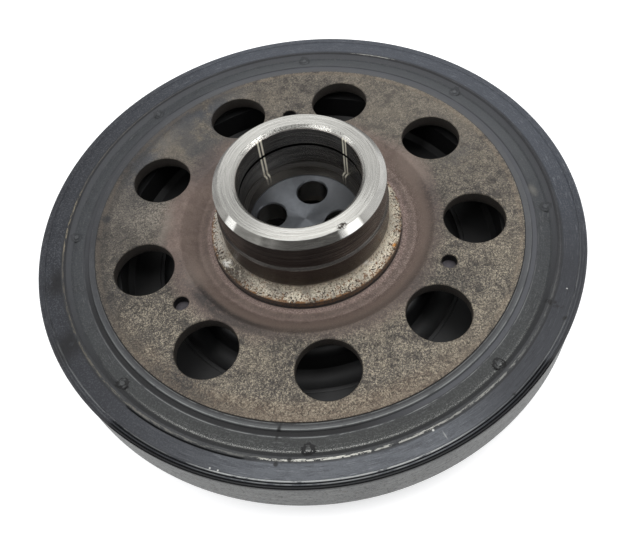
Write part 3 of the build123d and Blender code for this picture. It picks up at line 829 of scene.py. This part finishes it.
    # crevice, punched walls, blind holes and underside; the crevice and the blind holes hold painted shade
    # painted shade in the crevice under the hub's foot
    crevice = radius.below(35.2, 35.5) * height.above(40, 40.5)
    colour = colour.tint(crevice, 34, 26, 24)
    holes = height.below(44.3, 44.8) * radius.above(48.5, 49.5) * radius.below(77, 78)
    punched = steel.blend(grit, (58, 55, 53), (90, 84, 78))
    colour = steel.blend(holes * height.above(39.6, 40.4), colour, punched)
    blind = holes * radius.between(51, 58.2, 0.3) * height.above(40.5, 40.9)
    blind = blind * height.below(43.9, 44.6) * steel.share_of_turn(3, 90).below(4, 5)
    # painted shade in the blind holes, darkest towards their floor
    painted_hole_shade = steel.blend(height.below(41.1, 41.5), (26, 25, 26), (92, 88, 92))
    colour = steel.blend(blind, colour, painted_hole_shade)
    underside = steel.blend(patches, (52, 50, 48), (84, 80, 76))
    colour = steel.blend(height.below(39.8, 40.2), colour, underside)
    roughness = 0.5 + pitting * 0.15 - light * 0.15
    bumps = steel.relief(grit, 0.16, 1, under=steel.relief(pitting, 0.2, 0.8))
    return steel.finish(colour, roughness, 0.5, bumps)


def moulded_rubber():
    """Slate rubber, greener in the channel, bluer on the outer band, scratched where it has worn, with
    painted sheen, glints and shade.
    """
    rubber = Finish("moulded damper rubber")
    x, y, radius, height, turn = rubber.x, rubber.y, rubber.radius, rubber.height, rubber.turn
    fine = rubber.cloud(1.6, 4, 0.7)
    broad = rubber.cloud(0.045, 4, 0.6)
    smears = rubber.cloud(0.2, 5, 0.65, 0.8)
    streaks_and_painted_highlights = rubber.streaks(8, 1.6, 6, 0.75)
    hairs = rubber.streaks(5, 0.3, 3, 0.7, 30)
    near = y.below(-90, 0)
    left = x.below(-85, -20)
    # lip and groove, the lip with a painted sheen on its near side
    slate = rubber.blend(broad.above(0.35, 0.65), (42, 43, 46), (54, 55, 58))
    # painted sheen: lighter on the near side
    slate = slate.tint(near * 0.6, 70, 71, 71)
    slate = slate.tint(streaks_and_painted_highlights.above(0.5, 0.65) * 0.4, 84, 85, 86)
    slate = slate.tint(fine.above(0.5, 0.62) * 0.4, 30, 30, 32)
    # channel
    channel = radius.between(83.4, 89, 0.4)
    green = rubber.blend(near, (58, 60, 63), (52, 53, 52))
    green = green.tint(smears.above(0.5, 0.65) * 0.4, 42, 42, 44)
    green = green.tint(fine.above(0.5, 0.6) * 0.35, 92, 94, 92)
    green = green.tint(hairs.above(0.58, 0.64) * smears.above(0.45, 0.6) * 0.35, 124, 126, 124)
    green = green.tint(hairs.below(0.35, 0.41) * 0.4, 30, 31, 32)
    colour = rubber.blend(channel, slate, green)
    # outer band, with a painted sheen on its near side, painted shade on its left and over two stretches, and
    # painted light on its upper right
    outer = radius.above(91, 91.6)
    # painted sheen on the near side, painted shade on the left
    blue = rubber.blend(near, (52, 56, 64), (92, 95, 100))
    blue = blue.tint(left * 0.9, 24, 26, 33)
    tarry = rubber.spots((1, -92, -10, 4, 3, 1.5, 85), (1, -86.5, -37, 4.5, 3, 1.4, 65))
    tarry = (tarry * smears.above(0.3, 0.5)).capped()
    blue = blue.tint(streaks_and_painted_highlights.above(0.4, 0.64) * 0.5, 50, 53, 59)
    hair = hairs.above(0.56, 0.62) * smears.above(0.4, 0.56)
    blue = blue.tint(hair * (0.45 - left * 0.38), 138, 140, 144)
    blue = blue.tint(hairs.below(0.36, 0.42) * 0.5, 26, 27, 32)
    blue = blue.tint(fine.above(0.5, 0.62) * 0.3, 112, 114, 117)
    specks = fine.above(0.62, 0.68) * streaks_and_painted_highlights.above(0.4, 0.6)
    blue = blue.tint(specks * 0.6 * near, 30, 30, 34)
    # painted shade over two stretches, painted light on the upper right
    painted_shade_stretches = turn.bands((0.75, -62, -14, 12), (0.4, -165, -112, 10))
    blue = blue.tint(painted_shade_stretches.capped(), 24, 25, 31)
    painted_light_upper_right = turn.between(4, 108, 14)
    blue = blue.tint(painted_light_upper_right * 0.4, 84, 88, 96)
    blue = blue.tint(tarry * 0.9, 8, 8, 12)
    colour = rubber.blend(outer, colour, blue)
    # lines that follow the section: groove, lip, joint to the plate and foot of the wall; the groove holds
    # painted shade on the near side and painted light elsewhere
    groove = radius.between(81.15, 82.75, 0.12)
    # painted shade in the groove on the near side; elsewhere its floor is painted light against its shading
    painted_shade_in_groove = turn.between(-172, -76, 14)
    groove_floor_painted_light = rubber.blend(left, (82, 83, 87), (56, 57, 60))
    colour = rubber.blend(groove * 0.9, colour, groove_floor_painted_light.tint(painted_shade_in_groove, 12, 12, 14))
    away = 1 - near
    colour = colour.tint(radius.between(78.9, 81.1, 0.12) * away * (0.6 - left * 0.45), 98, 99, 101)
    # painted light on the channel's upper right
    colour = colour.tint(radius.between(83.2, 87.6, 0.3) * painted_light_upper_right * 0.5, 88, 90, 92)
    joint = radius.between(78.4, 78.8, 0.06) + radius.between(78.5, 79.4, 0.25) * near * 0.6
    colour = colour.tint(joint.capped(), 24, 22, 22)
    colour = colour.tint(radius.between(79.9, 81.1, 0.2) * near * 0.4, 112, 113, 112)
    broken = streaks_and_painted_highlights.above(0.4, 0.52)
    # painted glints: thin light lines along the edges of the lip and groove on the near side
    painted_edge_glints = radius.bands((1, 80.55, 80.95, 0.12), (1, 83, 83.3, 0.1), (0.6, 78.9, 79.2, 0.1))
    colour = colour.tint((painted_edge_glints * broken * (near * 0.7)).capped(), 146, 148, 146)
    # painted glints: a dotted line of light points along the foot of the wall, with scattered ones round it
    dot_noise = rubber.cloud(3, 3, 0.8)
    painted_dot_glints = radius.between(87.1, 87.8, 0.25) * dot_noise.above(0.48, 0.56) * turn.between(-135, -38, 15)
    painted_dot_glints = painted_dot_glints * (0.45 + turn.between(-135, -76, 10) * 0.4)
    scattered_glints = radius.between(85.8, 88.8, 0.5) * dot_noise.above(0.58, 0.64)
    painted_dot_glints = (painted_dot_glints + scattered_glints * turn.between(-126, -48, 12) * 0.45).capped()
    colour = colour.tint(painted_dot_glints, 180, 180, 175)
    # painted light on the channel's outer wall away from the near side, painted shade on it at the near side
    wall = rubber.blend(near * 1.6, (80, 81, 84), (34, 34, 36))
    colour = rubber.blend(radius.between(88, 89.5, 0.2) * 0.6, colour, wall)
    colour = colour.tint(radius.between(89.5, 90.3, 0.15) * away * 0.7, 20, 20, 23)
    # crest, its fibres torn loose where it is worn through, the brightness there partly a painted shine, with
    # painted shade under it
    crest = radius.between(90.25, 90.95, 0.12)
    scar = (turn.bands(*SCARS) + near * 0.12 + left * 0.2).capped()
    worn = crest * scar * rubber.streaks(3, 0.3, 4, 0.75, 60).above(0.46, 0.54)
    # the worn crest's light colour, partly a painted shine
    frayed_and_painted_shine = rubber.blend(left, (216, 214, 204), (150, 140, 118))
    colour = rubber.blend(worn, colour, frayed_and_painted_shine)
    # painted shade along the foot of the crest's outer step, strongest on the near side
    painted_shade_under_crest = radius.between(91.1, 91.7, 0.12) * (0.3 + near * 0.6) * (1 - scar * 0.6)
    colour = colour.tint(painted_shade_under_crest.capped(), 14, 14, 16)
    # edge ridges, with painted highlights on their tops and painted shade between them on the near side
    tops = radius.between(96.85, 97.3, 0.08) * 1.2
    for ridge, steep, bright in ((97.2, 3.2, 1.2), (98.1, 3.5, 0.6), (99, 3.5, 0.35)):
        tops = tops + (1 - abs(radius - ridge) * steep).capped() * bright
    lit = turn.between(-112, -72, 12) * 0.85 + 0.1
    # painted highlights on the ridge tops, on the near side
    painted_ridge_highlights = tops * height.above(44.35, 44.6) * (near * 1.5).capped() * broken * lit
    colour = colour.tint(painted_ridge_highlights.capped(), 206, 208, 206)
    facing = turn.between(-142, -38, 12)
    # painted shade in the valleys between the ridges and at the outer edge, on the side facing the front
    painted_root_shade = radius.above(96.6, 96.8) * height.below(44.4, 44.6) * height.above(43.6, 43.7)
    colour = colour.tint(painted_root_shade * facing, 6, 6, 7)
    colour = colour.tint(radius.above(98.55, 98.75) * facing * 0.85, 16, 16, 18)
    # gate marks
    sideways = rubber.share_of_turn(8, FIRST_GATE) * math.radians(GATE_PAINT_CIRCLE)
    off = radius - GATE_PAINT_CIRCLE
    square = sideways * sideways + off * off
    gate = square.reckon("SQRT", square)
    ragged = gate + rubber.cloud(0.9, 3, 0.6) * 2.2 - 1.1
    torn = gate.between(0.9, 1.8, 0.15) * rubber.cloud(0.7, 3, 0.6).above(0.42, 0.52)
    torn = torn + ragged.between(1.6, 2.25, 0.15)
    colour = colour.tint(torn.capped() * (0.4 + near * 0.8).capped(), 12, 12, 13)
    colour = colour.tint(gate.below(0.55, 0.8) * 0.3, 88, 89, 90)
    # nicks, flecks and a tear
    tear = rubber.spot(77.2, -50.2, 1.2, 0.4, 2.6, -32) * rubber.cloud(0.8, 4, 0.75, 0.8).above(0.45, 0.49)
    colour = colour.tint((rubber.spots(*NICKS) + tear).capped() * 0.9, 12, 12, 13)
    colour = colour.tint(rubber.spots(*FLECKS).capped() * 0.9, 220, 220, 214)
    haze = rubber.spot(84.3, -1.5, 1.2, 1, 1.8, 95)
    colour = colour.tint(haze * 0.3, 150, 146, 136)

    roughness = 0.56 + fine * 0.16 - outer * (0.14 + tarry * 0.1) + smears * 0.08
    bumps = rubber.relief(fine, 0.07, 1, under=rubber.relief(streaks_and_painted_highlights, 0.08))
    return rubber.finish(colour, roughness, 0, bumps, IOR=1.45)


def ring_iron():
    """Dull turned iron with pits and a little rust."""
    iron = Finish("damper ring iron")
    grain = iron.cloud(0.9, 5, 0.72)
    broad = iron.cloud(0.08, 4, 0.65)
    lines = iron.streaks(10, 0.5, 4, 0.7)
    colour = iron.blend(broad.above(0.38, 0.62) * 0.5, (74, 75, 75), (92, 93, 91))
    colour = colour.tint(lines.above(0.42, 0.58) * 0.6, 116, 117, 115)
    colour = colour.tint(grain.above(0.54, 0.6) * 0.75, 46, 45, 43)
    colour = colour.tint(iron.cloud(0.45, 5, 0.7).above(0.6, 0.68) * 0.6, 82, 74, 64)
    roughness = 0.4 + grain * 0.2
    bumps = iron.relief(grain, 0.1, 1, under=iron.relief(lines, 0.08))
    return iron.finish(colour, roughness, 0.6, bumps)


def black_coat():
    """Thin black coating, worn grey on the tops of the ribs, with painted shade on the inner parts under the
    plate.
    """
    coat = Finish("black coated steel")
    grain = coat.cloud(1.5, 4)
    dust = coat.cloud(0.12, 4, 0.65)
    tops = coat.radius.above(79.6, 79.95) * grain.above(0.3, 0.6)
    colour = coat.blend(dust.above(0.45, 0.75) * 0.35, (14, 14, 15), (40, 39, 38))
    colour = colour.tint(tops * 0.7, 132, 130, 128)
    roughness = 0.4 + dust * 0.2
    # painted shade: the inner parts under the plate, seen through its vents, nearly black
    colour = colour.tint(coat.height.above(20, 21) * coat.radius.below(78, 78.5), 9, 9, 10)
    return coat.finish(colour, roughness, tops * 0.6, coat.relief(grain, 0.02))


def bush_polymer():
    polymer = Finish("bush polymer")
    grain = polymer.cloud(0.8, 4)
    colour = polymer.blend(grain, (14, 14, 14), (26, 25, 24))
    return polymer.finish(colour, 0.5 + grain * 0.1, 0, polymer.relief(grain, 0.02))


def decoupler_black():
    rubber = Finish("decoupler rubber")
    grain = rubber.cloud(1, 4)
    colour = rubber.blend(grain, (30, 30, 31), (48, 48, 48))
    return rubber.finish(colour, 0.55 + grain * 0.15, 0, rubber.relief(grain, 0.03))


# ---------- dressing the part

PIECES = (
    (make_hub, "hub", "machined_steel", hub_steel),
    (make_carrier_plate, "carrier_plate", "blasted_steel", blasted_steel),
    (make_damper_ring, "damper_ring", "ring_iron", ring_iron),
    (make_damper_rubber, "damper_rubber", "bonded_rubber", moulded_rubber),
    (make_belt_pulley, "belt_pulley", "coated_steel", black_coat),
    (make_pulley_bush, "pulley_bush", "bush_polymer", bush_polymer),
    (make_decoupler_sleeve, "decoupler_sleeve", "coated_steel", black_coat),
    (make_decoupler_rubber, "decoupler_rubber", "bonded_rubber", decoupler_black),
    (make_decoupler_cup, "decoupler_cup", "coated_steel", black_coat),
)

mixed = {}
for make, node, slot, finish in PIECES:
    piece = make()
    if finish not in mixed:
        mixed[finish] = finish()
    for shown in (piece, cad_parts[node]):
        shown.data.materials.clear()
        shown.data.materials.append(mixed[finish])
    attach(piece, "root")
    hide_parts(node)


# ---------- floor, light and camera


def either(tree, first, second):
    """The greater of two, so 1 for either kind of ray."""
    return add_node(tree, "ShaderNodeMath", {"operation": "MAXIMUM"}, {0: first, 1: second})


def make_floor():
    """White floor that keeps the part's shadow; away from the part it glows to the eye and in reflections."""
    lay_down_tools()
    bpy.ops.mesh.primitive_plane_add(size=8.0, location=(0, 0, -0.0002))
    floor = bpy.context.object
    floor.name = "studio_floor"
    material = bpy.data.materials.new("studio floor")
    material.use_nodes = True
    tree = material.node_tree
    tree.nodes.clear()
    rays = tree.nodes.new("ShaderNodeLightPath").outputs
    seen = either(tree, rays["Is Camera Ray"], rays["Is Glossy Ray"])
    metres = add_node(tree, "ShaderNodeTexCoord", out="Object")
    away = add_node(tree, "ShaderNodeVectorMath", {"operation": "LENGTH"}, {0: metres}, out="Value")
    reach = {"Value": away, "From Min": 0.076, "From Max": 0.1, "To Max": 0.72}
    clear = add_node(tree, "ShaderNodeMapRange", {"interpolation_type": "SMOOTHSTEP"}, reach)
    share = add_node(tree, "ShaderNodeMath", {"operation": "MULTIPLY"}, {0: seen, 1: clear})
    glow = add_node(tree, "ShaderNodeEmission", {}, {"Color": (1, 1, 1, 1), "Strength": share})
    matt = add_node(tree, "ShaderNodeBsdfDiffuse", {}, {"Color": (0.7, 0.7, 0.7, 1)})
    both = add_node(tree, "ShaderNodeAddShader", {}, {0: matt, 1: glow})
    add_node(tree, "ShaderNodeOutputMaterial", {}, {"Surface": both})
    floor.data.materials.append(material)


def make_world():
    """Soft daylight on the part, plain white to the camera and in reflections."""
    world = bpy.data.worlds.new("studio")
    bpy.context.scene.world = world
    world.use_nodes = True
    tree = world.node_tree
    tree.nodes.clear()
    soft = {"Color": (0.93, 0.96, 1.0, 1), "Strength": 0.42}
    white = {"Color": (1, 1, 1, 1), "Strength": 1.0}
    soft, white = (add_node(tree, "ShaderNodeBackground", {}, light) for light in (soft, white))
    rays = tree.nodes.new("ShaderNodeLightPath").outputs
    seen = either(tree, rays["Is Camera Ray"], rays["Is Glossy Ray"])
    seen = either(tree, seen, rays["Is Transmission Ray"])
    mix = add_node(tree, "ShaderNodeMixShader", {}, {0: seen, 1: soft, 2: white})
    add_node(tree, "ShaderNodeOutputWorld", {}, {"Surface": mix})


def aimed(place, axis):
    """Turned so that one of its own axes points from a place to the part."""
    return (Vector((0, 0, 0.04)) - Vector(place)).to_track_quat(axis, "Y").to_euler()


def make_lamp(name, place, size, watts):
    """A soft box that faces the part."""
    lay_down_tools()
    bpy.ops.object.light_add(type="AREA", location=place)
    lamp = bpy.context.object
    lamp.name = name
    lamp.data.shape = "RECTANGLE"
    lamp.data.size, lamp.data.size_y = size
    lamp.data.energy = watts
    lamp.rotation_euler = aimed(place, "-Z")


def make_flag(name, place, size):
    """Black card beside the part, out of sight, that gives the steel and rubber a dark side."""
    lay_down_tools()
    bpy.ops.mesh.primitive_plane_add(size=1.0, location=place, rotation=aimed(place, "Z"))
    flag = bpy.context.object
    flag.name = name
    flag.scale = (*size, 1.0)
    flag.visible_camera = False
    flag.visible_diffuse = False
    flag.visible_shadow = False
    material = bpy.data.materials.new("black card")
    material.use_nodes = True
    card = material.node_tree.nodes["Principled BSDF"]
    card.inputs["Base Color"].default_value = (0.02, 0.02, 0.02, 1)
    card.inputs["Roughness"].default_value = 0.9
    flag.data.materials.append(material)


def make_camera():
    lay_down_tools()
    bpy.ops.object.camera_add(location=(0.001494, -0.167932, 0.264079))
    camera = bpy.context.object
    camera.rotation_euler = tuple(math.radians(turn) for turn in (32.8617, 5.1559, -7.3194))
    camera.data.lens = 42.90
    camera.data.sensor_fit = "HORIZONTAL"
    camera.data.sensor_width = 36.0
    camera.data.clip_start = 0.01
    bpy.context.scene.camera = camera


make_floor()
make_world()
make_lamp("roof_light", (0.0, 0.22, 1.15), (1.0, 0.7), 3.0)
make_lamp("side_light", (0.76, -0.41, 1.12), (0.26, 0.26), 1.3)
make_lamp("left_light", (-1.15, 0.1, 0.74), (0.14, 0.4), 0.7)
for turn in (-26, -12, 206, 220):
    make_lamp("tube_light", (*on_circle(0.6, turn), 1.05), (0.025, 0.7), 1.6)
make_flag("front_flag", (-0.1, -1.0, 0.5), (2.2, 0.9))
make_flag("left_flag", (-0.6, 0.5, 0.95), (0.7, 0.8))
make_flag("right_flag", (0.64, 0.6, 0.95), (0.5, 0.5))
make_camera()
bpy.context.scene.view_settings.view_transform = "Standard"
